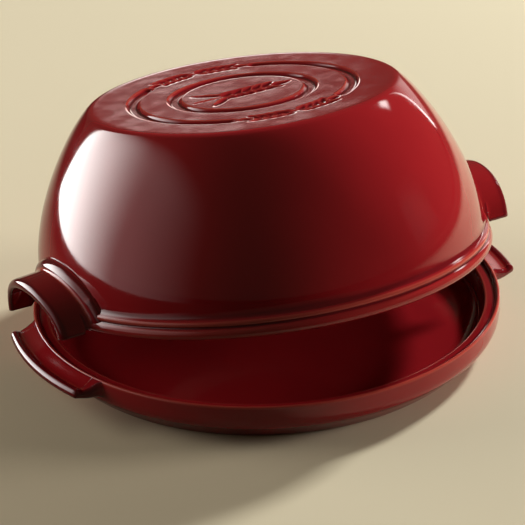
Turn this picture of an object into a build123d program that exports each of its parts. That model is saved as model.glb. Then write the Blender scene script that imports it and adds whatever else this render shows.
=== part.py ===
from build123d import *
from math import cos, radians, sin, sqrt
import os

# A two-piece ceramic bread cloche, in millimetres and degrees.
#
# +Z is up, and the dish stands on z = 0 with its centre at the origin. The two
# handles of each piece lie along X. The cover rests tipped about a line parallel
# to X: its back edge (+Y) bears on the dish's ledge and its front (-Y) is raised.

# Cover: a dome cast in one piece with its rim and its two handles.
cover_radius = 140.1          # widest circle, at the rim's lower bead
cover_height = 107.8          # from the rim to the flat top
cover_top_radius = 90.2       # edge of the flat top
cover_wall = 6.0
ceiling_wall = 6.8
shoulder_radius = 7.0         # rounding between the flat top and the wall
shoulder_slope = 49.0         # how far the wall leans from upright at the shoulder
belly_set_back = 4.8          # the wall just above the rim, in from the widest circle
belly_pull = 36.0             # how far the wall's foot keeps upright
shoulder_pull = 18.0          # how far the wall's head keeps its slope
inner_shoulder_radius = 14.0

# Cover's rim: a tall bead at the bottom, a small bead over it and a flare.
rim_bead_radius = 3.8
rim_width = 7.7
groove_depth = 1.1            # groove between the beads, in from the small bead
small_bead_radius = 1.9
small_bead_overhang = 3.4     # how far the small bead stands out from the wall
small_bead_crest = 1.7        # height of the bead's upper end over its middle
small_bead_set_back = 1.0     # and how far that end lies in from its edge
flare_height = 3.2

# Rings sunk in the flat top: one in two arcs, and one whole round the middle.
outer_ring_radius = 66.0
outer_ring_span = 112.0       # angle of each of the two arcs
inner_ring_radius = 41.0
ring_cutter_radius = 3.4
ring_depth = 1.9

# Cover's handles: a short vault open outwards, with a collar where it leaves the wall.
vault_half_width = 40.0
vault_rise = 27.5
vault_wall = 6.0
vault_droop = 5.0             # slope of the vault's crown, down to its open end
vault_root_inset = 2.6        # the finger gap ends this far in from the widest circle
vault_end_rounding = 2.6
collar_side_margin = 6.0      # how far the collar's arch stands out beside the vault
collar_top_margin = 4.5
collar_overhang = 0.5         # how far the collar's end stands out from the small bead
collar_rounding = 3.0
gap_clearance = 1.0           # how far the tool for the finger gap passes the handle's tip
notch_margin = 1.6            # the feet's notch for the dish's lip, past the dish's edge
handle_length = 15.5          # how far every handle stands out from the dish's edge

# Dish: a shallow tray with a ledge for the cover's rim.
seat_gap = 0.3                # clearance wherever cover and dish bear
rim_play = 0.4                # between the cover's rim and the dish's lip
lip_width = 2.0
lip_height = 2.5              # the lip's top over the ledge
lip_lean = 0.9                # how far the lip's inner face leans outwards
ledge_height = 24.3
ledge_width = 6.7
ledge_rounding = 1.0
widest_drop = 4.3             # the dish is widest this far below its ledge
dish_flare_start = 3.5        # height at which the foot's rounding gives way to the flare
foot_inset = 15.0             # the foot ring, in from the dish's edge
foot_ring_width = 10.0
foot_recess = 1.5
foot_rounding = 4.0
floor_height = 7.0
floor_inset = 26.5            # the flat floor, in from the dish's edge
step_inset = 13.2             # low step round the inside wall, in from the dish's edge
step_height = 13.0
step_width = 1.2

# Dish's handles: a dished tab with a rolled outer edge.
tab_bead_radius = 3.0
tab_half_angle = 16.6         # from the tab's middle to its outer corners
tab_root_half_angle = 19.6
tab_corner_radius = 3.0
tab_root_fillet = 7.0
tab_root_spread = 1.5         # angle that each root fillet adds beside the tab's root
tab_thickness = 4.8           # at the bottom of the tab's hollow
tab_dip = 2.6                 # depth of the hollow below the rolled edge
tab_hollow_reach = 6.5        # where the hollow is deepest, out from the dish's edge
tab_root_drop = 1.4           # the tab's top leaves the lip this far below its crown
tab_root_slope = 30.0         # how steeply it leaves it
tab_under_drop = 7.7          # where its underside meets the dish's wall, below the ledge

# Rest position of the cover.
cover_tip = 9.6               # angle between the cover's rim and the dish's

cutter_size = 700.0           # larger than either piece, for the solids that only cut

# Worked out from the values above.
belly_radius = cover_radius - belly_set_back
rim_inner_radius = cover_radius - rim_width
vault_root_radius = cover_radius - vault_root_inset
lip_inner_radius = cover_radius + rim_play
dish_radius = lip_inner_radius + lip_width
handle_reach = dish_radius + handle_length
notch_radius = dish_radius + notch_margin
ledge_inner_radius = lip_inner_radius - ledge_width
foot_radius = dish_radius - foot_inset
floor_radius = dish_radius - floor_inset
step_radius = dish_radius - step_inset
dish_widest_height = ledge_height - widest_drop
lip_top = ledge_height + lip_height
lip_rounding = lip_width / 2
lip_middle = dish_radius - lip_rounding
rim_bead_center = cover_radius - rim_bead_radius
small_bead_edge = belly_radius + small_bead_overhang
small_bead_height = 2 * rim_bead_radius + small_bead_radius
small_bead_top = small_bead_height + small_bead_crest
wall_foot = small_bead_top + flare_height
ceiling = cover_height - ceiling_wall
lean = radians(shoulder_slope)
collar_radius = small_bead_edge + collar_overhang
tab_bead_middle = handle_reach - tab_bead_radius
tab_top = ledge_height        # the rolled edge is no higher than the ledge
tab_hollow_radius = dish_radius + tab_hollow_reach
tab_under_height = ledge_height - tab_under_drop


def at(radius, height):
    return Vector(radius, 0, height)


def turned(*edges):
    """The solid of revolution of a closed outline in the XZ plane."""
    return Rot(0, 0, 90) * revolve(make_face(Wire(edges)), Axis.Z)


def shoulder_point(inset=0.0, angle=lean):
    """A point on the rounding between wall and flat top, moved inwards by inset."""
    reach = shoulder_radius - inset
    height = cover_height - shoulder_radius + reach * sin(angle)
    return at(cover_top_radius + reach * cos(angle), height)


def wall_curve(foot, head):
    """The dome's wall: upright at its foot, leaning in at the shoulder's slope at its head."""
    return Bezier(
        foot,
        foot + Vector(0, 0, belly_pull),
        head + Vector(shoulder_pull * sin(lean), 0, -shoulder_pull * cos(lean)),
        head,
    )


def dome_outside():
    groove = at(small_bead_edge - groove_depth, 2 * rim_bead_radius)
    bead_top = at(small_bead_edge - small_bead_set_back, small_bead_top)
    foot = at(belly_radius, wall_foot)
    head = shoulder_point()
    crown = at(cover_top_radius, cover_height)
    return turned(
        Line(at(0, 0), at(rim_bead_center, 0)),
        ThreePointArc(at(rim_bead_center, 0), at(cover_radius, rim_bead_radius), groove),
        ThreePointArc(groove, at(small_bead_edge, small_bead_height), bead_top),
        TangentArc(foot, bead_top, tangent=(0, 0, -1)),
        wall_curve(foot, head),
        ThreePointArc(head, shoulder_point(angle=(lean + radians(90)) / 2), crown),
        Line(crown, at(0, cover_height)),
        Line(at(0, cover_height), at(0, 0)),
    )


def dome_inside():
    foot = at(belly_radius - cover_wall, wall_foot)
    head = at(shoulder_point(cover_wall).X, ceiling)
    outline = make_face(Wire([
        Line(at(0, 0), at(rim_inner_radius, 0)),
        Line(at(rim_inner_radius, 0), foot),
        wall_curve(foot, head),
        Line(head, at(0, ceiling)),
        Line(at(0, ceiling), at(0, 0)),
    ]))
    corner = outline.vertices().sort_by_distance(head)[0]
    return Rot(0, 0, 90) * revolve(fillet(corner, inner_shoulder_radius), Axis.Z)


def ring_place(radius):
    """Where a ring's round-bottomed cutter crosses the XZ plane over the flat top."""
    return Pos(radius, 0, cover_height + ring_cutter_radius - ring_depth) * Rot(90, 0, 0)


def ring_groove(radius):
    """Cutter for a ring that goes the whole way round."""
    return revolve(ring_place(radius) * Circle(ring_cutter_radius), Axis.Z)


def arc_groove(radius, span):
    """Cutter for a part of a ring, centred on +X, with round ends."""
    profile = ring_place(radius) * Circle(ring_cutter_radius)
    groove = Rot(0, 0, -span / 2) * revolve(profile, Axis.Z, span)
    for end in (-span / 2, span / 2):
        groove += Rot(0, 0, end) * ring_place(radius) * Sphere(ring_cutter_radius)
    return groove


def above_rim(solid):
    """The part of a solid that lies above the rim's flat underside."""
    return solid & Pos(0, 0, cutter_size / 2) * Box(cutter_size, cutter_size, cutter_size)


def arch(half_width, rise, droop):
    """An elliptical bar along X, whose crown has the given rise at the handle's tip."""
    bar = extrude(Plane.YZ * Ellipse(rise, half_width, rotation=-90), -handle_reach / 2)
    return Pos(handle_reach, 0, 0) * Rot(0, droop, 0) * bar


def tall_cylinder(radius):
    return Cylinder(radius, cutter_size)


def arched_edges(solid, inner_limit):
    """The long arched edges of a handle on +X whose middles lie beyond the given x."""
    beyond = solid.edges().filter_by(lambda e: e.center().X > inner_limit)
    return beyond.filter_by(lambda e: e.length > vault_half_width and e.center().Z > rim_bead_radius)


def finger_gap():
    gap = arch(vault_half_width - vault_wall, vault_rise - vault_wall, vault_droop)
    return Pos(gap_clearance, 0, 0) * gap - tall_cylinder(vault_root_radius)


def collar():
    """A low arched swelling of the wall, with a rounded crest, that the vault springs from."""
    bar = arch(vault_half_width + collar_side_margin, vault_rise + collar_top_margin, vault_droop)
    swelling = above_rim(bar & tall_cylinder(collar_radius))
    return fillet(arched_edges(swelling, collar_radius - 2 * collar_overhang), collar_rounding)


def lip_notch():
    """Room under a vault's feet for the dish's lip, when the cover lies flat on the ledge."""
    return Pos(0, 0, lip_height / 2) * Cylinder(notch_radius, lip_height)


def vault():
    """The part of the handle outside the wall, open outwards, with its end rounded."""
    bar = arch(vault_half_width, vault_rise, vault_droop)
    hollow = above_rim(bar & tall_cylinder(handle_reach)) - finger_gap()
    rounded = fillet(arched_edges(hollow, handle_reach - vault_wall), vault_end_rounding)
    return rounded - lip_notch()


def cover():
    body = dome_outside() + collar() + vault()
    body += Rot(0, 0, 180) * (collar() + vault())
    body -= finger_gap()
    body -= Rot(0, 0, 180) * finger_gap()
    body -= dome_inside()
    body -= arc_groove(outer_ring_radius, outer_ring_span)
    body -= Rot(0, 0, 180) * arc_groove(outer_ring_radius, outer_ring_span)
    return body - ring_groove(inner_ring_radius)


def tipped(body):
    """The cover put on the dish: its bead touches neither ledge nor lip, a seat gap from both."""
    tip = radians(cover_tip)
    bead_height = ledge_height + seat_gap + rim_bead_radius
    reach = rim_bead_radius + lip_rounding + seat_gap
    bead_back = lip_middle - sqrt(reach**2 - (bead_height - (lip_top - lip_rounding)) ** 2)
    back = bead_back - rim_bead_center * cos(tip) - rim_bead_radius * sin(tip)
    height = bead_height + rim_bead_center * sin(tip) - rim_bead_radius * cos(tip)
    return Pos(0, back, height) * Rot(-cover_tip, 0, 0) * body


def dish_bowl():
    foot_inner = foot_radius - foot_ring_width
    foot_end = at(foot_radius + foot_rounding, dish_flare_start)
    widest = at(dish_radius, dish_widest_height)
    lip_outer = at(dish_radius, lip_top - lip_rounding)
    lip_inner = at(lip_inner_radius, lip_top - lip_rounding)
    lip_foot = at(lip_inner_radius - lip_lean, ledge_height)
    ledge_end = at(ledge_inner_radius + ledge_rounding, ledge_height)
    wall_top = at(ledge_inner_radius, ledge_height - ledge_rounding)
    step_outer = at(step_radius + step_width, step_height)
    step = at(step_radius, step_height)
    rim_of_floor = at(floor_radius, floor_height)
    pull = (dish_widest_height - dish_flare_start) / 2
    return turned(
        Line(at(0, foot_recess), at(foot_inner - foot_recess, foot_recess)),
        Line(at(foot_inner - foot_recess, foot_recess), at(foot_inner, 0)),
        Line(at(foot_inner, 0), at(foot_radius, 0)),
        TangentArc(at(foot_radius, 0), foot_end, tangent=(1, 0, 0)),
        Bezier(foot_end, foot_end + Vector(pull, 0, pull), widest - Vector(0, 0, pull), widest),
        Line(widest, lip_outer),
        ThreePointArc(lip_outer, at(lip_middle, lip_top), lip_inner),
        Line(lip_inner, lip_foot),
        Line(lip_foot, ledge_end),
        TangentArc(ledge_end, wall_top, tangent=(-1, 0, 0)),
        TangentArc(wall_top, step_outer, tangent=(0, 0, -1)),
        Line(step_outer, step),
        TangentArc(rim_of_floor, step, tangent=(1, 0, 0)),
        Line(rim_of_floor, at(0, floor_height)),
        Line(at(0, floor_height), at(0, foot_recess)),
    )


def tab_plan():
    """The tab on +X seen from above: straight sides that run into the dish in wide fillets."""
    root = Vector(dish_radius, 0).rotate(Axis.Z, tab_root_half_angle)
    corner = Vector(handle_reach, 0).rotate(Axis.Z, tab_half_angle)
    inner = root * 2 - corner
    outer = corner * 2 - root
    corners = [inner, outer, Vector(outer.X, -outer.Y), Vector(inner.X, -inner.Y)]
    blank = make_face(Polyline(*corners, close=True)) & Circle(handle_reach)
    plan = blank + Circle(dish_radius)
    between = (dish_radius + handle_reach) / 2
    at_root = plan.vertices().filter_by(lambda v: v.X > 0 and Vector(v).length < between)
    plan = fillet(at_root, tab_root_fillet)
    at_tip = plan.vertices().filter_by(lambda v: Vector(v).length > handle_reach - tab_corner_radius)
    return fillet(at_tip, tab_corner_radius)


def tab_section():
    """Upright section of the tab: a hollow behind a rolled edge."""
    root = at(lip_middle, lip_top - tab_root_drop)
    hollow = at(tab_hollow_radius, tab_top - tab_dip)
    edge_top = at(tab_bead_middle, tab_top)
    edge = at(handle_reach, tab_top - tab_bead_radius)
    edge_bottom = at(tab_bead_middle, tab_top - 2 * tab_bead_radius)
    under = at(tab_hollow_radius, tab_top - tab_dip - tab_thickness)
    under_root = at(lip_middle, tab_under_height)
    fall = (cos(radians(tab_root_slope)), 0, -sin(radians(tab_root_slope)))
    return make_face(Wire([
        Spline(root, hollow, edge_top, tangents=[fall, (1, 0, 0)]),
        ThreePointArc(edge_top, edge, edge_bottom),
        Spline(edge_bottom, under, under_root, tangents=[(-1, 0, 0), (-1, 0, 0)]),
        Line(under_root, root),
    ]))


def tab():
    blank = extrude(tab_plan(), 2 * ledge_height)
    span = 2 * tab_root_half_angle + 2 * tab_root_spread
    return blank & Rot(0, 0, -span / 2) * revolve(tab_section(), Axis.Z, span)


def dish():
    return dish_bowl() + tab() + Rot(0, 0, 180) * tab()


os.makedirs("parts", exist_ok=True)
export_step(dish(), "parts/base_dish.step")
export_step(tipped(cover()), "parts/cloche_lid.step")
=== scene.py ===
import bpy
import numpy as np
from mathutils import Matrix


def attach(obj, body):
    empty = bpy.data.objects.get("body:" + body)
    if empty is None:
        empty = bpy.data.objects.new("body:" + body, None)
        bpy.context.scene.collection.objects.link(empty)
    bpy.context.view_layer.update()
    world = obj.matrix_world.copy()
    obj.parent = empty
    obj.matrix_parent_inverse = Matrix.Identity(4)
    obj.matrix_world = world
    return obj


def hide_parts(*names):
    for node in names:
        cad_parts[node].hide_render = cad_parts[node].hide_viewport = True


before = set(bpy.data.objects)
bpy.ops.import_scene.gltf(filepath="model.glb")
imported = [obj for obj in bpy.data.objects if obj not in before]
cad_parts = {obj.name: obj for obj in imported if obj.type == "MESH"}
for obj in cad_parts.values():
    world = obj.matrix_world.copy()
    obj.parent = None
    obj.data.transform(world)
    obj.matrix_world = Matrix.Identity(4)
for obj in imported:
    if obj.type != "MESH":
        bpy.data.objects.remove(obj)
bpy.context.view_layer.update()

# %% [markdown]
# # A two-piece bread cloche in glossy red glaze
#
# A bread cloche is a shallow ceramic dish with a tall cover. Both pieces are
# cast, glazed and fired, so every edge is soft and every surface reflects the
# room like a dark mirror. A solid made of exact fillets shows its seams in such
# a gloss, so this lesson works each surface out as arrays of points instead:
# an outline turned about the axis for the cover and the dish, and a section
# carried along a path for the handles. Sizes are in millimetres until the last
# step, where they become Blender's metres.

MM = 0.001
REACH = 158.0            # from the middle to the tips of the tabs and handles
RIM_RADIUS = 140.1       # the cover's rim, at its lower bead
RIM_BEAD = 3.8           # the radius of that bead's round
TOP_HEIGHT = 107.78      # the cover's flat top, over its rim
TOP_RADIUS = 90.2
SHOULDER_RADIUS = 7.0
WALL = 6.0               # the cover's wall
LIP_TOP = 26.8           # the dish's lip
LIP_ROUND = 1.0
DISH_RADIUS = 142.5
LEDGE = 24.3             # the dish's ledge, which carries the cover
SEAT_GAP = 0.3           # from the cover's bead to the ledge and to the lip
TIP = np.radians(9.6)    # how far the cover is tipped back

# %% [markdown]
# ## Lines that outlines are made of
#
# The outline of a pot is a chain of short arcs, straight runs and long easy
# curves. Each helper gives one such run as an array of (radius, height) pairs,
# and `chain` joins runs and drops the point that two neighbours share. Arcs are
# better than a spline through a few points here, because a bead really is a
# round, and a reflection shows at once where a round isn't true.


# %% Outline helpers
def line(start, end, count=2):
    """Straight run: start + t (end - start), with t going evenly from 0 to 1."""
    t = np.linspace(0, 1, count)[:, None]
    return np.array(start) + t * (np.array(end) - np.array(start))


def arc(center, radius, first, last, count):
    """Circular run: center + radius (cos a, sin a), with a going from first to last, in degrees."""
    a = np.radians(np.linspace(first, last, count))
    return np.array(center) + radius * np.stack([np.cos(a), np.sin(a)], -1)


def bezier(p0, p1, p2, p3, count):
    """Cubic run: (1-t)^3 p0 + 3 (1-t)^2 t p1 + 3 (1-t) t^2 p2 + t^3 p3."""
    t = np.linspace(0, 1, count)[:, None]
    p0, p1, p2, p3 = (np.array(p, float) for p in (p0, p1, p2, p3))
    return (1 - t) ** 3 * p0 + 3 * (1 - t) ** 2 * t * p1 + 3 * (1 - t) * t**2 * p2 + t**3 * p3


def chain(*runs):
    """Runs joined end to end, without the point that each shares with the one before."""
    return np.concatenate([runs[0]] + [run[1:] for run in runs[1:]])


def round_between(start, end, way, count):
    """Circular run from start to end that leaves start along the direction way."""
    start, end, way = (np.array(v, float) for v in (start, end, way))
    way = way / np.hypot(*way)
    side = np.array([-way[1], way[0]])
    span = end - start
    radius = span @ span / (2 * span @ side)
    center = start + radius * side
    first = np.arctan2(*(start - center)[::-1])
    last = np.arctan2(*(end - center)[::-1])
    turn = (last - first) % (2 * np.pi) if radius > 0 else -((first - last) % (2 * np.pi))
    a = first + turn * np.linspace(0, 1, count)
    return center + abs(radius) * np.stack([np.cos(a), np.sin(a)], -1)


print("a quarter round of 5 points ends at", arc((0, 0), 1, 0, 90, 5)[-1].round(3))

# %% [markdown]
# ## From a grid of points to a mesh
#
# A grid with one row for each point of the outline and one column for each step
# round the axis needs no modelling by hand: its faces are the squares between
# neighbouring rows and columns. Where the outline starts and ends on the axis
# the whole row is one point, a pole, and is closed with a fan of triangles.
#
# The glaze is thinner on every ridge, so the mesh also carries an attribute
# that says how strongly it bulges at each vertex. It is measured from the mesh
# itself: where neighbours' normals spread apart, the surface bulges.


# %% Mesh helpers
def grid_quads(rows, columns):
    """Squares between neighbouring rows and columns; the last column meets the first."""
    i = np.arange(rows - 1)[:, None] * columns
    j = np.arange(columns)[None, :]
    k = (j + 1) % columns
    return np.stack([i + j, i + columns + j, i + columns + k, i + k], -1).reshape(-1, 4)


def pole_fans(rows, columns):
    """Triangles from the first and the last row to the two poles, which follow the grid's points."""
    j = np.arange(columns)
    k = (j + 1) % columns
    last_row, poles = (rows - 1) * columns, rows * columns
    return np.concatenate([
        np.stack([np.full(columns, poles), j, k], -1),
        np.stack([np.full(columns, poles + 1), last_row + k, last_row + j], -1),
    ]).tolist()


def end_caps(rows, columns):
    """One face over the first row and one over the last, for a section carried along a path."""
    return [list(range(columns)), list(range((rows - 1) * columns, rows * columns))[::-1]]


def mesh_object(name, points, quads, others):
    """A smooth mesh in metres from points in millimetres, squares, and a list of other faces."""
    mesh = bpy.data.meshes.new(name)
    mesh.from_pydata((points * MM).tolist(), [], quads.tolist() + others)
    mesh.shade_smooth()
    mesh.update()
    piece = bpy.data.objects.new(name, mesh)
    bpy.context.collection.objects.link(piece)
    print(f"{name}: {len(mesh.vertices)} vertices, {len(mesh.polygons)} faces")
    mark_bulges(mesh)
    return piece


BULGE_RADIUS = 4.0       # a ball of this radius bulges by 1


def mark_bulges(mesh):
    """Attribute 'bulge': mean over a vertex's edges of (n2 - n1).(p2 - p1) / |p2 - p1|^2, times the radius.

    n1, n2 and p1, p2 are the normals and the places at an edge's two ends.
    """
    count = len(mesh.vertices)
    points = np.empty(count * 3, np.float32)
    normals = np.empty(count * 3, np.float32)
    ends = np.empty(len(mesh.edges) * 2, np.int32)
    mesh.vertices.foreach_get("co", points)
    mesh.vertex_normals.foreach_get("vector", normals)
    mesh.edges.foreach_get("vertices", ends)
    points, normals, ends = points.reshape(-1, 3) / MM, normals.reshape(-1, 3), ends.reshape(-1, 2)
    step = points[ends[:, 1]] - points[ends[:, 0]]
    spread = normals[ends[:, 1]] - normals[ends[:, 0]]
    curve = (step * spread).sum(1) / np.maximum((step**2).sum(1), 1e-4)
    total, edges = np.zeros(count), np.zeros(count)
    for end in (0, 1):
        np.add.at(total, ends[:, end], curve)
        np.add.at(edges, ends[:, end], 1)
    bulge = np.clip(total / np.maximum(edges, 1) * BULGE_RADIUS, -1, 1)
    layer = mesh.attributes.new("bulge", "FLOAT", "POINT")
    layer.data.foreach_set("value", bulge.astype(np.float32))
    print(f"  bulge from {bulge.min():.2f} to {bulge.max():.2f}")


# %% [markdown]
# ## The cover: a dome on a double bead
#
# The cover rises from a tall round bead, a groove and a small second bead, and
# flares into a wall that leans in more and more up to a soft shoulder and a
# flat top. It is one closed skin: the outline below runs from the middle of the
# top down the outside, round the rim, and up the inside to the middle of the
# ceiling, and turning it makes outer face, rim and lining at once.

# %% The cover's outline
SHOULDER_LEAN = 49.0     # degrees over the level at which the wall meets the shoulder's round
FOOT = (135.3, 14.5)     # where the wall leaves the flare over the beads
HEAD_PULL, FOOT_PULL = 18, 36    # how firmly the wall keeps its direction at either end
TOP_WALL = 6.8           # thickness of the flat top


def shoulder(inset):
    """The wall's upper end on the shoulder's round, moved inwards by inset."""
    lean = np.radians(SHOULDER_LEAN)
    middle = np.array([TOP_RADIUS, TOP_HEIGHT - SHOULDER_RADIUS])
    return middle + (SHOULDER_RADIUS - inset) * np.array([np.cos(lean), np.sin(lean)])


def wall_run(foot, head, count):
    """The wall from head to foot: it stands upright at its foot and leans in at its head."""
    lean = np.radians(SHOULDER_LEAN)
    below_head = head + HEAD_PULL * np.array([np.sin(lean), -np.cos(lean)])
    return bezier(head, below_head, np.array(foot) + (0, FOOT_PULL), foot, count)


def cover_outline():
    """Two runs: from the top's middle down to the rim, and from the rim up to the ceiling's middle."""
    # Start, end and step of the flat top's rows, which lie closer where grooves and grains are.
    spans = ((0, 34.5, 0.95), (34.5, 47, 0.55), (47, 59.5, 1.2), (59.5, 74, 0.6), (74, TOP_RADIUS, 2.2))
    top = np.concatenate([np.arange(*span) for span in spans])
    flat = np.stack([top, np.full(len(top), TOP_HEIGHT)], -1)
    ceiling = TOP_HEIGHT - TOP_WALL
    bead_middle = RIM_RADIUS - RIM_BEAD
    inner_foot = np.array([FOOT[0] - WALL, FOOT[1]])
    inner_head = np.array([shoulder(WALL)[0], ceiling])
    lining = wall_run(inner_foot, inner_head, 40)[::-1]
    corner = bezier(lining[-7], lining[-3], inner_head - (4, 0), inner_head - (14, 0), 8)
    outside = chain(
        flat,
        arc((TOP_RADIUS, TOP_HEIGHT - SHOULDER_RADIUS), SHOULDER_RADIUS, 90, SHOULDER_LEAN, 7),
        wall_run(FOOT, shoulder(0), 34),
        round_between(FOOT, (137.7, 11.2), (0.12, -1), 5),       # the flare
        arc((136.8, 9.5), 1.9, 62, -72, 9),                      # the small bead
        arc((bead_middle, RIM_BEAD), RIM_BEAD, 70, -90, 15),     # the rim's bead
    )
    return outside, chain(
        line((bead_middle, 0), (133.2, 0), 3),
        arc((133.2, 0.8), 0.8, -90, -180, 4),
        line((132.4, 0.8), inner_foot, 4),
        lining[:-6],
        corner,
        line(corner[-1], (0, ceiling), 8),
    )


outer_run, inner_run = cover_outline()
print(f"outline: {len(outer_run)} points outside, {len(inner_run)} inside")

# %% [markdown]
# ## What is pressed into the flat top
#
# Two curved grooves run round the top, with a gap in front and behind, and a
# whole ring sets off a medallion in the middle. The gaps and the medallion are
# the places for an ornament, and this cover gets the baker's plain one, ears of
# wheat. A picture or a bump map would look flat from the side, so the pattern
# is a depth in millimetres at each point (x, y), and the grid above is fine
# enough to carry it.


# %% Depth of the ornament
RING_RADIUS = 41.0       # the ring round the medallion
ARC_RADIUS = 66.0        # the two curved grooves
ARC_HALF = np.radians(56)    # how far each of them runs to either side of the X axis
EAR_ROOT = -8.0          # where the medallion's ear starts, along X


def dent(distance, width, depth):
    """A round-bottomed dent: -depth (1 - (distance / width)^2)^2 inside width, and 0 outside."""
    inside = np.clip(1 - (distance / width) ** 2, 0, 1)
    return -depth * inside**2


def trough(distance, width, edge, depth):
    """A flat-bottomed groove: -depth s^2 (3 - 2 s), where s rises from 0 to 1 over the sloping edge."""
    s = np.clip((width - np.abs(distance)) / edge, 0, 1)
    return -depth * s**2 * (3 - 2 * s)


def grains(x, y, places, size, depth):
    """The deepest of several dents with the outline of a grain, each (x, y, angle) in places."""
    result = np.zeros_like(x)
    length, width = size
    for cx, cy, angle in places:
        along = ((x - cx) * np.cos(angle) + (y - cy) * np.sin(angle)) / length
        across = (-(x - cx) * np.sin(angle) + (y - cy) * np.cos(angle)) / width
        narrow = 1 - 0.45 * np.clip(along, -1, 1)
        result = np.minimum(result, dent(np.hypot(along, across / narrow), 1.0, depth))
    return result


def ear(x, y, pairs, size, depth):
    """A wheat ear along +x from the origin: pairs of grains beside a stem, and one at the tip."""
    length, width = size
    side = np.tile([-1.0, 1.0], pairs)
    along = np.repeat(np.arange(pairs), 2) * 0.9 * length
    places = [(a, s * 1.2 * width, s * 0.5) for a, s in zip(along, side)]
    tip = (0.9 * pairs * length + 1.5, 0.0, 0.0)
    return grains(x, y, places + [tip], size, depth)


def stem(x, y, start, end):
    """A thin straight groove along x between start and end."""
    beyond = np.maximum(np.maximum(start - x, x - end), 0)
    return dent(np.hypot(beyond, y), 1.5, 0.8)


def leaf(x, y, angle):
    """An oval dent that leaves the origin at an angle."""
    half_length, half_width = 13.0, 3.2
    along = x * np.cos(angle) + y * np.sin(angle)
    across = -x * np.sin(angle) + y * np.cos(angle)
    return dent(np.hypot((along - half_length) / half_length, across / half_width), 1.0, 1.7)


def ornament(x, y):
    """Depth of the top's grooves and ears at each point, the deepest of all of them."""
    radius, turn = np.hypot(x, y), np.arctan2(y, x)
    from_x_axis = np.abs(np.arctan2(np.sin(turn), np.abs(np.cos(turn))))
    past_end = ARC_RADIUS * np.maximum(from_x_axis - ARC_HALF, 0)
    dents = [
        trough(radius - RING_RADIUS, 4.6, 2.6, 1.9),
        trough(np.hypot(radius - ARC_RADIUS, past_end), 4.2, 2.4, 1.9),
        ear(x - EAR_ROOT, y, 5, (7.2, 3.8), 2.2),
        stem(x, y, -31, 24),
    ]
    dents += [leaf(x - EAR_ROOT, y, np.radians(140) * mirror) for mirror in (-1, 1)]
    for way in (-1, 1):
        along = ARC_RADIUS * np.arctan2(x, np.abs(y)) * way
        elsewhere = np.where(way * y > 0, 0.0, 1000.0)   # moves the other gap's points out of reach
        for mirror in (-1, 1):
            u, v = mirror * along + elsewhere, radius - ARC_RADIUS
            dents += [ear(u - 7, v, 4, (6.2, 3.0), 2.0), stem(u, v, 0, 24)]
    return np.minimum.reduce(dents)


print("ring is", -ornament(np.array([RING_RADIUS]), np.zeros(1))[0], "mm deep")

# %% [markdown]
# ## Turning the cover
#
# Turning sends each outline point (r, z) round the axis, and three things then
# bend the result. The ornament sinks the flat top. The top is very slightly
# hollow, as it would be after drying. And where a handle's arch stands, the
# beads would run right through the space for the fingers, so inside the arch
# every point is brought to one plain curved wall of radius 137.5 mm. The edge
# of that change falls inside the arch's own thickness, where nobody sees it.

# %% Turn the outline into the dome
VAULT_HALF, VAULT_RISE, VAULT_WALL = 40.0, 27.5, 6.0     # the arch's half width, height and thickness
CLEARED_HALF, CLEARED_RISE = 37.0, 26.5      # the arch inside which the beads give way
GAP_WALL_RADIUS = 137.5
TOP_HOLLOW = 0.5         # how far the flat top has sunk in its middle


def tip_and_place(points):
    """Turns the cover by its tip about X and sets its rim's back edge on the dish's ledge."""
    x, y, z = points[..., 0], points[..., 1], points[..., 2]
    c, s = np.cos(TIP), np.sin(TIP)
    reach = RIM_BEAD + LIP_ROUND + SEAT_GAP      # from the bead's middle to that of the lip's round
    bead_height = LEDGE + SEAT_GAP + RIM_BEAD
    bead_back = DISH_RADIUS - LIP_ROUND - np.sqrt(reach**2 - (bead_height - LIP_TOP + LIP_ROUND) ** 2)
    back = bead_back - (RIM_RADIUS - RIM_BEAD) * c - RIM_BEAD * s
    height = bead_height + (RIM_RADIUS - RIM_BEAD) * s - RIM_BEAD * c
    return np.stack([x, back + y * c + z * s, height - y * s + z * c], -1)


def turned_cover(columns):
    """The cover's points, cleared in the arches and pressed on top, and the faces between them."""
    runs = chain(outer_run, inner_run)
    angle = np.linspace(0, 2 * np.pi, columns, endpoint=False)
    r, z = runs[1:-1, 0][:, None], runs[1:-1, 1][:, None]
    x, y, z = r * np.cos(angle), r * np.sin(angle), z + 0 * angle
    rows = len(runs) - 2
    outer = (np.arange(rows) < len(outer_run))[:, None]
    in_arch = outer & ((y / CLEARED_HALF) ** 2 + (z / CLEARED_RISE) ** 2 < 1)
    scale = np.where(in_arch, GAP_WALL_RADIUS / r, 1)
    x, y = x * scale, y * scale
    hollow = -TOP_HOLLOW * np.clip(1 - (r / TOP_RADIUS) ** 2, 0, 1)
    z = z + np.where(outer & (r < TOP_RADIUS), ornament(x, y) + hollow, 0)
    middle = TOP_HEIGHT - TOP_HOLLOW + ornament(np.zeros(1), np.zeros(1))[0]
    poles = [[0, 0, middle], [0, 0, runs[-1, 1]]]
    points = np.concatenate([np.stack([x, y, z], -1).reshape(-1, 3), poles])
    return tip_and_place(points), grid_quads(rows, columns), pole_fans(rows, columns)


dome = mesh_object("cover_dome", *turned_cover(432))

# %% [markdown]
# ## The cover's handles
#
# Each handle is a short arched vault that springs from a raised collar on the
# wall and opens outwards, so that fingers slip under it. Its section is always
# the same: up the wall, over the collar's crest, down to the vault, out along
# it, round the thick edge and back underneath. Carrying this one section along
# the arch from foot to foot gives the whole handle, and the small rounds where
# surfaces meet come with it, which a boolean of two solids would leave sharp.
# Near the wall the feet end 2.5 mm higher, so that they clear the dish's lip when
# the cover lies flat.


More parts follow.
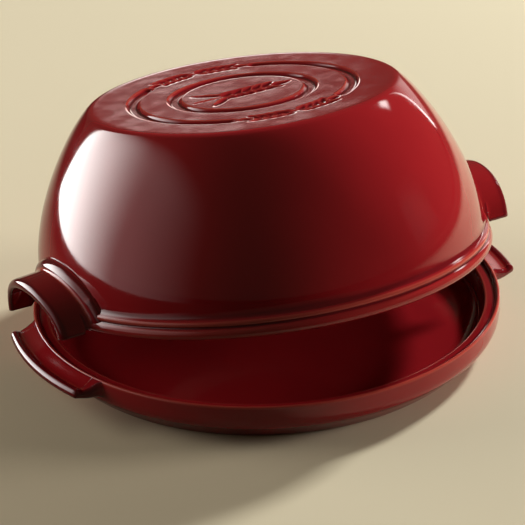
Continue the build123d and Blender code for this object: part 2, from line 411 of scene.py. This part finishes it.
# %% Carry the handle's section along its arch
COLLAR_EDGE = 139.3      # the radius at which the collar turns down to the vault
COLLAR_SPREAD = 0.4      # how much wider it is beside the arch than on its crown
FEET_RADIUS = 144.0      # from here outwards the feet reach all the way down
NOTCH, NOTCH_RUN = 2.5, 0.6      # how much higher they end by the wall, and the way between
VAULT_SLOPE = np.radians(5.0)    # by which the crown falls outwards
END_ROUND, END_MIDDLE = 2.8, 155.15      # the rounds of the vault's outer end, and their radius
FILLET = 1.7             # where the vault's inner face meets the wall


def wall_radius(height):
    """Outer radius of the cover's wall at a height over the rim, read off the outline."""
    wall = wall_run(FOOT, shoulder(0), 60)[::-1]
    return np.interp(height, wall[:, 1], wall[:, 0], left=136.6)


def handle_section(wall):
    """The closed section as (radius, distance over the arch), where the wall's radius is wall."""
    notch_end, tip, fillet_middle = FEET_RADIUS - NOTCH_RUN, END_MIDDLE + END_ROUND, GAP_WALL_RADIUS + FILLET
    inner, root = -VAULT_WALL, -VAULT_WALL - FILLET
    return chain(
        line((wall - 2.4, 5.8), (wall - 0.2, 5.0)),
        round_between((wall - 0.2, 5.0), (COLLAR_EDGE, 2.0), (1, 0.08), 14),     # the collar's crest
        line((COLLAR_EDGE, 2.0), (139.35, 1.5)),
        arc((140.85, 1.5), 1.5, 180, 270, 6),
        line((140.85, 0), (notch_end, 0), 3),                                    # the outer face
        line((notch_end, 0), (FEET_RADIUS, 0), 3),
        line((FEET_RADIUS, 0), (155.2, 0), 8),
        arc((END_MIDDLE, -END_ROUND), END_ROUND, 90, 0, 7),                      # the outer end
        line((tip, -END_ROUND), (tip, inner + END_ROUND)),
        arc((END_MIDDLE, inner + END_ROUND), END_ROUND, 0, -90, 7),
        line((155.2, inner), (FEET_RADIUS, inner), 8),                           # the inner face
        line((FEET_RADIUS, inner), (notch_end, inner), 3),
        line((notch_end, inner), (fillet_middle, inner), 3),
        arc((fillet_middle, root), FILLET, 90, 180, 5),
        line((GAP_WALL_RADIUS, root), (134.6, root)),
    )


def arch_points(u, radius, over):
    """Points over the arch, on the circle of each radius.

    The arch is the half ellipse y = -half cos u, z = rise sin u, and `over` is
    the distance along its normal. Outside the arch it grows by 0.4 cos^2 u,
    since the collar is wider beside the arch than on its crown.
    """
    over = np.where(over > 0, over * (1 + COLLAR_SPREAD * np.cos(u) ** 2), over)
    rise = VAULT_RISE + (REACH - radius) * np.tan(VAULT_SLOPE)
    nx, nz = -rise * np.cos(u), VAULT_HALF * np.sin(u)
    size = np.hypot(nx, nz)
    y = -VAULT_HALF * np.cos(u) + over * nx / size
    z = rise * np.sin(u) + over * nz / size
    by_wall = np.clip((FEET_RADIUS - radius) / NOTCH_RUN, 0, 1)
    z = z + NOTCH * by_wall * np.clip(1 - z / (5 * NOTCH), 0, 1)
    return np.stack([np.sqrt(radius**2 - y**2), y, z], -1)


def handle(name, side):
    """The section, carried from one foot of the arch to the other, with its ends capped."""
    foot_steps = np.array([0, 0.004, 0.015, 0.04])       # close together, for the rounds of the feet
    u = np.concatenate([foot_steps, np.linspace(0.07, np.pi - 0.07, 84), np.pi - foot_steps[::-1]])
    shrink = np.interp(np.minimum(u, np.pi - u), foot_steps, [0.9, 0.45, 0.12, 0])
    sections = np.array([handle_section(wall_radius(VAULT_RISE * np.sin(a))) for a in u])
    ahead = np.roll(sections, -1, 1) - np.roll(sections, 1, 1)
    inward = np.stack([ahead[..., 1], -ahead[..., 0]], -1)
    inward /= np.linalg.norm(inward, axis=-1, keepdims=True)
    sections = sections + shrink[:, None, None] * inward
    points = arch_points(u[:, None], sections[..., 0], sections[..., 1])
    rows, columns = points.shape[:2]
    points = points.reshape(-1, 3) * np.array([side, side, 1])
    return mesh_object(name, tip_and_place(points), grid_quads(rows, columns), end_caps(rows, columns))


handles = [handle("cover_handle_right", 1), handle("cover_handle_left", -1)]

# %% [markdown]
# ## The dish: a shallow tray with a ledge
#
# The dish is one turned skin too: from the middle of the floor out over the low
# step, up to the ledge that carries the cover's rim, over the lip, down the
# flared outside and round the foot ring. Its two tabs follow below.


# %% Turn the dish
FLOOR, UNDERSIDE = 7, 1.5        # heights of the dish's floor and of its underside within the foot ring


def dish_outline():
    """The run from the middle of the floor, over ledge, lip and foot ring, to that of the underside."""
    lip_radius, lip_height = DISH_RADIUS - LIP_ROUND, LIP_TOP - LIP_ROUND
    return chain(
        line((0, FLOOR), (116, FLOOR), 24),
        round_between((116, FLOOR), (129.3, 13), (1, 0), 12),            # the low step
        arc((129.9, 13.0), 0.6, 180, 90, 4),
        round_between((129.9, 13.6), (132.9, 22.4), (0.5, 1), 12),       # up to the ledge
        arc((134.6, 22.6), 1.7, 180, 90, 6),
        line((134.6, LEDGE), (138.6, LEDGE), 4),
        arc((138.6, LEDGE + 1.0), 1.0, -90, -28, 5),
        line((139.48, 24.83), (140.5, 25.7)),
        arc((lip_radius, lip_height), LIP_ROUND, 180, 0, 11),
        line((DISH_RADIUS, lip_height), (DISH_RADIUS, 20.0), 5),         # down the flared outside
        bezier((DISH_RADIUS, 20.0), (DISH_RADIUS, 11.75), (139.75, 11.75), (131.5, 3.5), 18),
        round_between((131.5, 3.5), (127.5, 0), (-1, -1), 6),            # round the foot ring
        line((127.5, 0), (117.5, 0), 6),
        line((117.5, 0), (116, UNDERSIDE), 3),
        line((116, UNDERSIDE), (0, UNDERSIDE), 10),
    )


def turned_dish(columns):
    """The dish's points, from the underside up, and the faces between them."""
    run = dish_outline()[::-1]
    angle = np.linspace(0, 2 * np.pi, columns, endpoint=False)
    r, z = run[1:-1, 0][:, None], run[1:-1, 1][:, None]
    grid = np.stack([r * np.cos(angle), -r * np.sin(angle), z + 0 * angle], -1).reshape(-1, 3)
    rows = len(run) - 2
    poles = [[0, 0, run[0, 1]], [0, 0, run[-1, 1]]]
    return np.concatenate([grid, poles]), grid_quads(rows, columns), pole_fans(rows, columns)


dish = mesh_object("dish_bowl", *turned_dish(400))

# %% [markdown]
# ## The dish's tabs
#
# A tab leaves the lip, dips into a shallow hollow and ends in a rolled edge.
# Seen from above its sides run into the dish in wide rounds. Its section is
# turned like the dish's own, but each step round the axis ends at the edge of
# that plan, and the roll at the end follows the edge, whichever way it faces.


# %% Plan and section of a tab
TAB_ROLL, ROLL_TOP = 3.0, 24.3       # the roll's reach beyond its middle, and the height of its top
HOLLOW_FLOOR = 22.9
TOP_START, UNDER_START = 141.2, 140.8    # the radii, within the lip, at which a tab's faces start


def tab_edge(count):
    """Points along the tab's edge, seen from above, and the outward direction at each.

    In polar terms the edge is the circle of the tips, the straight side through
    root and corner, or the dish's own circle: min(158, max(142.2, side)). The
    corners are then rounded by averaging neighbours that are evenly spaced.
    """
    root, corner = np.radians(19.6), np.radians(16.6)
    a = np.radians(np.linspace(-25, 25, 4001))
    p0 = DISH_RADIUS * np.array([np.cos(root), np.sin(root)])
    p1 = REACH * np.array([np.cos(corner), np.sin(corner)])
    nx, ny = p1[1] - p0[1], p0[0] - p1[0]
    side = (nx * p0[0] + ny * p0[1]) / np.minimum(nx * np.cos(a) + ny * np.sin(np.abs(a)), -1e-6)
    radius = np.minimum(REACH, np.maximum(DISH_RADIUS - 0.3, np.where(np.abs(a) < corner * 0.8, REACH, side)))
    edge = radius[:, None] * np.stack([np.cos(a), np.sin(a)], -1)
    run = np.concatenate([[0], np.cumsum(np.linalg.norm(np.diff(edge, axis=0), axis=1))])
    spacing, averaged = 0.1, 63      # mm between neighbours, and how many make one average
    even = np.arange(0, run[-1], spacing)
    edge = np.stack([np.interp(even, run, edge[:, k]) for k in (0, 1)], -1)
    window = np.hanning(averaged)
    smooth = np.stack([np.convolve(edge[:, k], window / window.sum(), "valid") for k in (0, 1)], -1)
    pick = np.linspace(0, len(smooth) - 1, count).round().astype(int)
    along = np.gradient(smooth, axis=0)[pick]
    out = np.stack([along[:, 1], -along[:, 0]], -1)
    return smooth[pick], out / np.linalg.norm(out, axis=1, keepdims=True)


def tab_top(radius):
    """Height of the tab's upper face: down from the lip into the hollow, and up to the roll."""
    roll_start = (REACH - TAB_ROLL, ROLL_TOP)
    run = chain(
        bezier((TOP_START, 26.72), (143.0, 26.55), (148.4, HOLLOW_FLOOR), (151.4, HOLLOW_FLOOR), 32),
        bezier((151.4, HOLLOW_FLOOR), (152.8, HOLLOW_FLOOR), (153.5, ROLL_TOP), roll_start, 18),
    )
    return np.interp(radius, run[:, 0], run[:, 1])


def tab_under(radius):
    """Height of its lower face, nearly flat."""
    return np.interp(radius, [UNDER_START, 145, 149, 152, REACH - TAB_ROLL], [16.6, 16.7, 17.0, 17.7, 18.3])


def round_axis(radius, turn, height):
    """Points at a radius from the axis, an angle round it and a height."""
    return np.stack([radius * np.cos(turn), radius * np.sin(turn), height], -1)


def tab(name, side):
    """Upper face, rolled edge and lower face at each step along the edge, with the ends capped."""
    edge, out = tab_edge(150)
    radius = np.hypot(edge[:, 0], edge[:, 1])
    roll = np.clip((radius - TOP_START) * 0.8, 0.3, TAB_ROLL)[:, None]
    rim = edge - roll * out
    rim_radius = np.hypot(rim[:, 0], rim[:, 1])[:, None]
    rim_turn = np.arctan2(rim[:, 1], rim[:, 0])[:, None]
    t = np.linspace(0, 1, 24)[None, :]
    outward = TOP_START + (rim_radius - TOP_START) * t
    upper = round_axis(outward, rim_turn, tab_top(outward))
    top, under = tab_top(rim_radius), tab_under(rim_radius)
    a = np.radians(np.linspace(90, -90, 19))[None, 1:-1]
    flat = rim[:, None, :] + (roll * np.cos(a))[..., None] * out[:, None, :]
    rolled = np.concatenate([flat, ((top + under) / 2 + (top - under) / 2 * np.sin(a))[..., None]], -1)
    inward = UNDER_START + (rim_radius - UNDER_START) * t[:, ::-1]
    lower = round_axis(inward, rim_turn, tab_under(inward))
    points = np.concatenate([upper, rolled, lower], 1)
    rows, columns = points.shape[:2]
    points = points.reshape(-1, 3) * np.array([side, side, 1])
    return mesh_object(name, points, grid_quads(rows, columns), end_caps(rows, columns))


tabs = [tab("dish_tab_right", 1), tab("dish_tab_left", -1)]

# %% [markdown]
# ## Glaze
#
# The colour lies in a glassy layer over a pale body. Where the layer has run
# off a ridge it is thin and lighter, and in hollows it is thick and nearly
# black. The gloss is never perfect: a faint swell bends the reflections. Both
# effects depend on the place on the surface only, so they go in one node group,
# and the gloss itself stays on the shader.


# %% The glaze's node group and material
FACTOR, FIRST, SECOND, MIXED = 0, 6, 7, 2    # sockets of a mix node that mixes colours


def glaze_group():
    """Node group: colour, roughness and normal of a poured glaze, from the bulge attribute and noise."""
    group = bpy.data.node_groups.new("poured_glaze", "ShaderNodeTree")
    face = group.interface
    for name, kind, value in (
        ("Thick", "NodeSocketColor", (0.15, 0.004, 0.008, 1)),
        ("Body", "NodeSocketColor", (0.31, 0.010, 0.014, 1)),
        ("Thin", "NodeSocketColor", (0.46, 0.060, 0.042, 1)),
        ("Swell", "NodeSocketFloat", 0.06),
    ):
        face.new_socket(name, in_out="INPUT", socket_type=kind).default_value = value
    for name, kind in (
        ("Color", "NodeSocketColor"),
        ("Roughness", "NodeSocketFloat"),
        ("Normal", "NodeSocketVector"),
    ):
        face.new_socket(name, in_out="OUTPUT", socket_type=kind)
    nodes, links = group.nodes, group.links
    given, result = nodes.new("NodeGroupInput"), nodes.new("NodeGroupOutput")
    place = nodes.new("ShaderNodeTexCoord")
    bulge = nodes.new("ShaderNodeAttribute")
    bulge.attribute_name = "bulge"

    def noise(scale, detail):
        node = nodes.new("ShaderNodeTexNoise")
        node.inputs["Scale"].default_value = scale
        node.inputs["Detail"].default_value = detail
        links.new(place.outputs["Object"], node.inputs["Vector"])
        return node.outputs["Fac"]

    def spread(value, low, high, to_low, to_high):
        node = nodes.new("ShaderNodeMapRange")
        node.interpolation_type = "SMOOTHSTEP"
        links.new(value, node.inputs["Value"])
        for socket, number in zip(("From Min", "From Max", "To Min", "To Max"), (low, high, to_low, to_high)):
            node.inputs[socket].default_value = number
        return node.outputs["Result"]

    def blend(factor, a, b):
        node = nodes.new("ShaderNodeMix")
        node.data_type = "RGBA"
        for value, socket in ((factor, FACTOR), (a, FIRST), (b, SECOND)):
            links.new(value, node.inputs[socket])
        return node.outputs[MIXED]

    def add(a, b):
        node = nodes.new("ShaderNodeMath")
        links.new(a, node.inputs[0])
        links.new(b, node.inputs[1])
        return node.outputs[0]

    cloud = noise(14.0, 3.0)
    ridge = add(bulge.outputs["Fac"], spread(cloud, 0.3, 0.7, -0.12, 0.12))
    pooled = spread(ridge, -0.45, 0.0, 1.0, 0.0)
    worn = spread(ridge, 0.30, 1.15, 0.0, 0.85)
    mottle = spread(cloud, 0.25, 0.75, 0.0, 0.22)
    body = blend(mottle, given.outputs["Body"], given.outputs["Thick"])
    color = blend(worn, blend(pooled, body, given.outputs["Thick"]), given.outputs["Thin"])
    swell = nodes.new("ShaderNodeBump")
    swell.inputs["Distance"].default_value = 0.001
    links.new(given.outputs["Swell"], swell.inputs["Strength"])
    links.new(noise(38.0, 1.0), swell.inputs["Height"])
    links.new(color, result.inputs["Color"])
    links.new(spread(noise(70.0, 4.0), 0.35, 0.75, 0.07, 0.13), result.inputs["Roughness"])
    links.new(swell.outputs["Normal"], result.inputs["Normal"])
    return group


def glaze(name, group):
    """Glossy glaze: the group gives colour, roughness and normal, and the coat is a thin clear skin."""
    material = bpy.data.materials.new(name)
    material.use_nodes = True
    nodes, links = material.node_tree.nodes, material.node_tree.links
    shader = nodes["Principled BSDF"]
    poured = nodes.new("ShaderNodeGroup")
    poured.node_tree = group
    for output, socket in (("Color", "Base Color"), ("Roughness", "Roughness"), ("Normal", "Normal")):
        links.new(poured.outputs[output], shader.inputs[socket])
    shader.inputs["IOR"].default_value = 1.5
    shader.inputs["Coat Weight"].default_value = 0.35
    shader.inputs["Coat Roughness"].default_value = 0.03
    return material


red = glaze("red_glaze", glaze_group())
for piece in (dome, *handles, dish, *tabs):
    piece.data.materials.append(red)

# %% [markdown]
# ## Riding on the frame
#
# The pieces above stand for the imported model's two solids, so those solids are
# hidden, and each piece is tied to the body it moves with, so that the cover's
# pieces lift together.

# %% Tie the pieces to the frame
for piece in (dome, *handles):
    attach(piece, "lid")
    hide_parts("cloche_lid")
for piece in (dish, *tabs):
    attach(piece, "dish")
    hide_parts("base_dish")

# %% [markdown]
# ## Table, light and camera
#
# Gloss shows its surroundings, so the light is part of the look. A tall pale
# screen stands on the table to the left and draws the long highlight on the
# cover. It dims towards the viewer, so the highlight fades out across the wall
# instead of ending at an edge, and a far dimmer screen behind it reaches further
# round. Far behind to the right a dim screen with a bright strip at its edge
# gives the pale band along the other side, and a glow behind is for the flat top.
# A small lamp high behind to the right throws the shadow. Its mirror image would
# be far too strong, so a weaker glow in its place draws the sparks on the rims.
# Two broad lamps at the sides lift the colour of the glaze itself.


# %% Stage and lights
TABLE_SIZE = 9
HANDLE_TURN = np.radians(27.9)   # how far the handles are turned from the picture's width
HEART = np.array([0, 0, 0.08])   # the middle of the object, which the lamps face


def table_top(name, near, far, middle, distances):
    """A matt top that is pale wherever the camera looks, but for every other ray, gloss and bounce,
    its colour fades to nearly black away from a lit middle: painted shade, standing in for light that falls
    off.

    distances are those from the lit middle, in metres, at which the pale
    colour starts to give way to the painted shade and has given way altogether.
    """
    material = bpy.data.materials.new(name)
    material.use_nodes = True
    nodes, links = material.node_tree.nodes, material.node_tree.links
    shader = nodes["Principled BSDF"]
    shader.inputs["Roughness"].default_value = 0.6
    shader.inputs["Specular IOR Level"].default_value = 0
    place, length = nodes.new("ShaderNodeTexCoord"), nodes.new("ShaderNodeVectorMath")
    length.operation = "DISTANCE"
    links.new(place.outputs["Object"], length.inputs[0])
    length.inputs[1].default_value = middle
    ramp = nodes.new("ShaderNodeMapRange")
    ramp.interpolation_type = "SMOOTHSTEP"
    links.new(length.outputs["Value"], ramp.inputs["Value"])
    ramp.inputs["From Min"].default_value, ramp.inputs["From Max"].default_value = distances
    # Painted shade: for every ray but the camera's, the colour fades from near to far away from the lit
    # middle.
    unseen = nodes.new("ShaderNodeMath")
    unseen.operation = "SUBTRACT"
    unseen.inputs[0].default_value = 1
    links.new(nodes.new("ShaderNodeLightPath").outputs["Is Camera Ray"], unseen.inputs[1])
    both = nodes.new("ShaderNodeMath")
    both.operation = "MULTIPLY"
    links.new(ramp.outputs["Result"], both.inputs[0])
    links.new(unseen.outputs[0], both.inputs[1])
    mix = nodes.new("ShaderNodeMix")
    mix.data_type = "RGBA"
    links.new(both.outputs[0], mix.inputs[FACTOR])
    mix.inputs[FIRST].default_value = (*near, 1)
    mix.inputs[SECOND].default_value = (*far, 1)
    links.new(mix.outputs[MIXED], shader.inputs["Base Color"])
    return material


def to_frame(across, away, up):
    """A point given as the photographer sees it, across, away and up, in the part's frame, in metres."""
    c, s = np.cos(HANDLE_TURN), np.sin(HANDLE_TURN)
    return np.array([c * across + s * away, -s * across + c * away, up])


def from_direction(azimuth, elevation, distance):
    """A point at an azimuth to the right of straight away, an elevation, both in degrees, and a distance."""
    a, e = np.radians(azimuth), np.radians(elevation)
    level = np.cos(e)
    return to_frame(np.sin(a) * level * distance, np.cos(a) * level * distance, np.sin(e) * distance)


def facing(place, target):
    """Matrix of a thing at place whose back points away from target and whose side is level."""
    back = (place - target) / np.linalg.norm(place - target)
    side = np.cross((0, 0, 1), back)
    side /= np.linalg.norm(side)
    axes = np.stack([side, np.cross(back, side), back], 1)
    return Matrix.Translation(place) @ Matrix(axes.tolist()).to_4x4()


bpy.ops.mesh.primitive_plane_add(size=TABLE_SIZE, location=(0, 0, 0))
table = bpy.context.object
table.name = "table"
# The far colour is painted shade: beyond the lit middle, the gloss and the bounce see the table go nearly
# black.
cream, painted_shade, lit = (0.64, 0.56, 0.41), (0.03, 0.02, 0.015), from_direction(40, 0, 0.4)
table.data.materials.append(table_top("table_cream_and_painted_shade", cream, painted_shade, lit, (0.3, 0.75)))


def glow(name, half_x, half_y, matrix, radiance, fades, color):
    """A flat glow that dims from full to nothing over the given widths, in metres.

    The widths are those at its +x, -x, -y and +y edges. It is clear apart from
    its glow, so that where two overlap their light adds up, and it shows in the
    gloss only: the lamps below light what is matt.
    """
    mesh = bpy.data.meshes.new(name)
    corners = [(-half_x, -half_y, 0), (half_x, -half_y, 0), (half_x, half_y, 0), (-half_x, half_y, 0)]
    mesh.from_pydata(corners, [], [(0, 1, 2, 3)])
    material = bpy.data.materials.new(name)
    material.use_nodes = True
    nodes, links = material.node_tree.nodes, material.node_tree.links
    nodes.remove(nodes["Principled BSDF"])
    coordinates = nodes.new("ShaderNodeTexCoord")
    axes = nodes.new("ShaderNodeSeparateXYZ")
    links.new(coordinates.outputs["Object"], axes.inputs[0])
    light = nodes.new("ShaderNodeEmission")
    light.inputs["Color"].default_value = (*color, 1)
    strength = None
    edges = ((0, half_x, -1), (0, -half_x, 1), (1, -half_y, 1), (1, half_y, -1))
    for (axis, edge, way), fade in zip(edges, fades):
        ramp = nodes.new("ShaderNodeMapRange")
        ramp.interpolation_type = "SMOOTHSTEP"
        links.new(axes.outputs[axis], ramp.inputs["Value"])
        ramp.inputs["From Min"].default_value = edge
        ramp.inputs["From Max"].default_value = edge + way * fade
        if strength is None:
            ramp.inputs["To Max"].default_value = radiance
            strength = ramp.outputs["Result"]
        else:
            product = nodes.new("ShaderNodeMath")
            product.operation = "MULTIPLY"
            links.new(strength, product.inputs[0])
            links.new(ramp.outputs["Result"], product.inputs[1])
            strength = product.outputs[0]
    links.new(strength, light.inputs["Strength"])
    clear, both = nodes.new("ShaderNodeBsdfTransparent"), nodes.new("ShaderNodeAddShader")
    links.new(light.outputs[0], both.inputs[0])
    links.new(clear.outputs[0], both.inputs[1])
    links.new(both.outputs[0], nodes["Material Output"].inputs["Surface"])
    mesh.materials.append(material)
    panel = bpy.data.objects.new(name, mesh)
    bpy.context.collection.objects.link(panel)
    panel.matrix_world = matrix
    panel.visible_camera = panel.visible_diffuse = False


def screen(name, azimuths, elevations, distance, radiance, fades, color):
    """An upright glow between two azimuths and two elevations; fades are left, right, lower, upper."""
    a, e = np.radians(azimuths), np.tan(np.radians(elevations)) * distance
    place = from_direction(np.mean(azimuths), 0, distance) + (0, 0, e.mean())
    half_x = distance * np.tan((a[1] - a[0]) / 2)
    matrix = facing(place, np.array([0, 0, place[2]]))
    glow(name, half_x, (e[1] - e[0]) / 2, matrix, radiance, fades, color)


screen("screen_left", (-106, -45), (0, 50), 0.8, 8.5, (0.64, 0.05, 0.001, 0.85), (1, 0.98, 0.95))
screen("screen_left_dim", (-150, -60), (0, 55), 0.85, 0.8, (1.1, 0.5, 0.001, 0.5), (1, 0.98, 0.95))
screen("screen_right", (12, 33), (0, 22), 2.8, 0.8, (0.6, 0.05, 0.001, 0.9), (1, 0.96, 0.9))
screen("strip_right", (33, 35), (0, 26), 2.8, 7.0, (0.05, 0.02, 0.001, 1.2), (1, 0.97, 0.93))
lamp_image = facing(from_direction(47, 31, 2.2), HEART)
glow("lamp_image", 0.2, 0.16, lamp_image, 7, (0.16, 0.16, 0.12, 0.12), (1, 1, 0.97))
screen("glow_behind", (-9, 2), (2, 8), 2.8, 4.6, (0.2, 0.12, 0.1, 0.12), (1, 0.97, 0.92))


def lamp(name, place, size, power, color):
    """A square lamp, size in metres and power in watts, that lights the object but isn't mirrored in it."""
    data = bpy.data.lights.new(name, "AREA")
    data.size = size
    data.energy = power
    data.color = color
    thing = bpy.data.objects.new(name, data)
    bpy.context.collection.objects.link(thing)
    thing.matrix_world = facing(place, HEART)
    thing.visible_glossy = False


lamp("lamp_behind", from_direction(45, 32, 2.9), 0.37, 97, (0.97, 1, 0.97))
lamp("lamp_left", from_direction(-80, 20, 1.3), 0.9, 11, (1, 0.95, 0.86))
lamp("lamp_right", from_direction(86, 12, 3.0), 1.0, 76, (1, 0.95, 0.88))

world = bpy.data.worlds.new("room")
bpy.context.scene.world = world
world.use_nodes = True
world.node_tree.nodes["Background"].inputs["Color"].default_value = (1, 0.85, 0.6, 1)
world.node_tree.nodes["Background"].inputs["Strength"].default_value = 0.05

# %% Camera
# Where the photographer stood, in metres, and how the camera was held, in radians.
EYE = to_frame(0, -1.4895, 0.7804)
PITCH, ROLL, PAN = 0.457, -0.040, -0.001


def camera_axes():
    """The camera's right, up and backward directions: level, pitched down, then rolled."""
    forward = to_frame(np.sin(PAN) * np.cos(PITCH), np.cos(PAN) * np.cos(PITCH), -np.sin(PITCH))
    right = to_frame(np.cos(PAN), -np.sin(PAN), 0)
    up = np.cross(right, forward)
    rolled_right = np.cos(ROLL) * right + np.sin(ROLL) * up
    rolled_up = -np.sin(ROLL) * right + np.cos(ROLL) * up
    return np.stack([rolled_right, rolled_up, -forward], 1)


camera_data = bpy.data.cameras.new("camera")
camera_data.sensor_width = 36
camera_data.lens = 187.06
camera_data.clip_end = 50
camera = bpy.data.objects.new("camera", camera_data)
bpy.context.collection.objects.link(camera)
camera.matrix_world = Matrix.Translation(EYE) @ Matrix(camera_axes().tolist()).to_4x4()
bpy.context.scene.camera = camera
bpy.context.scene.view_settings.view_transform = "Standard"
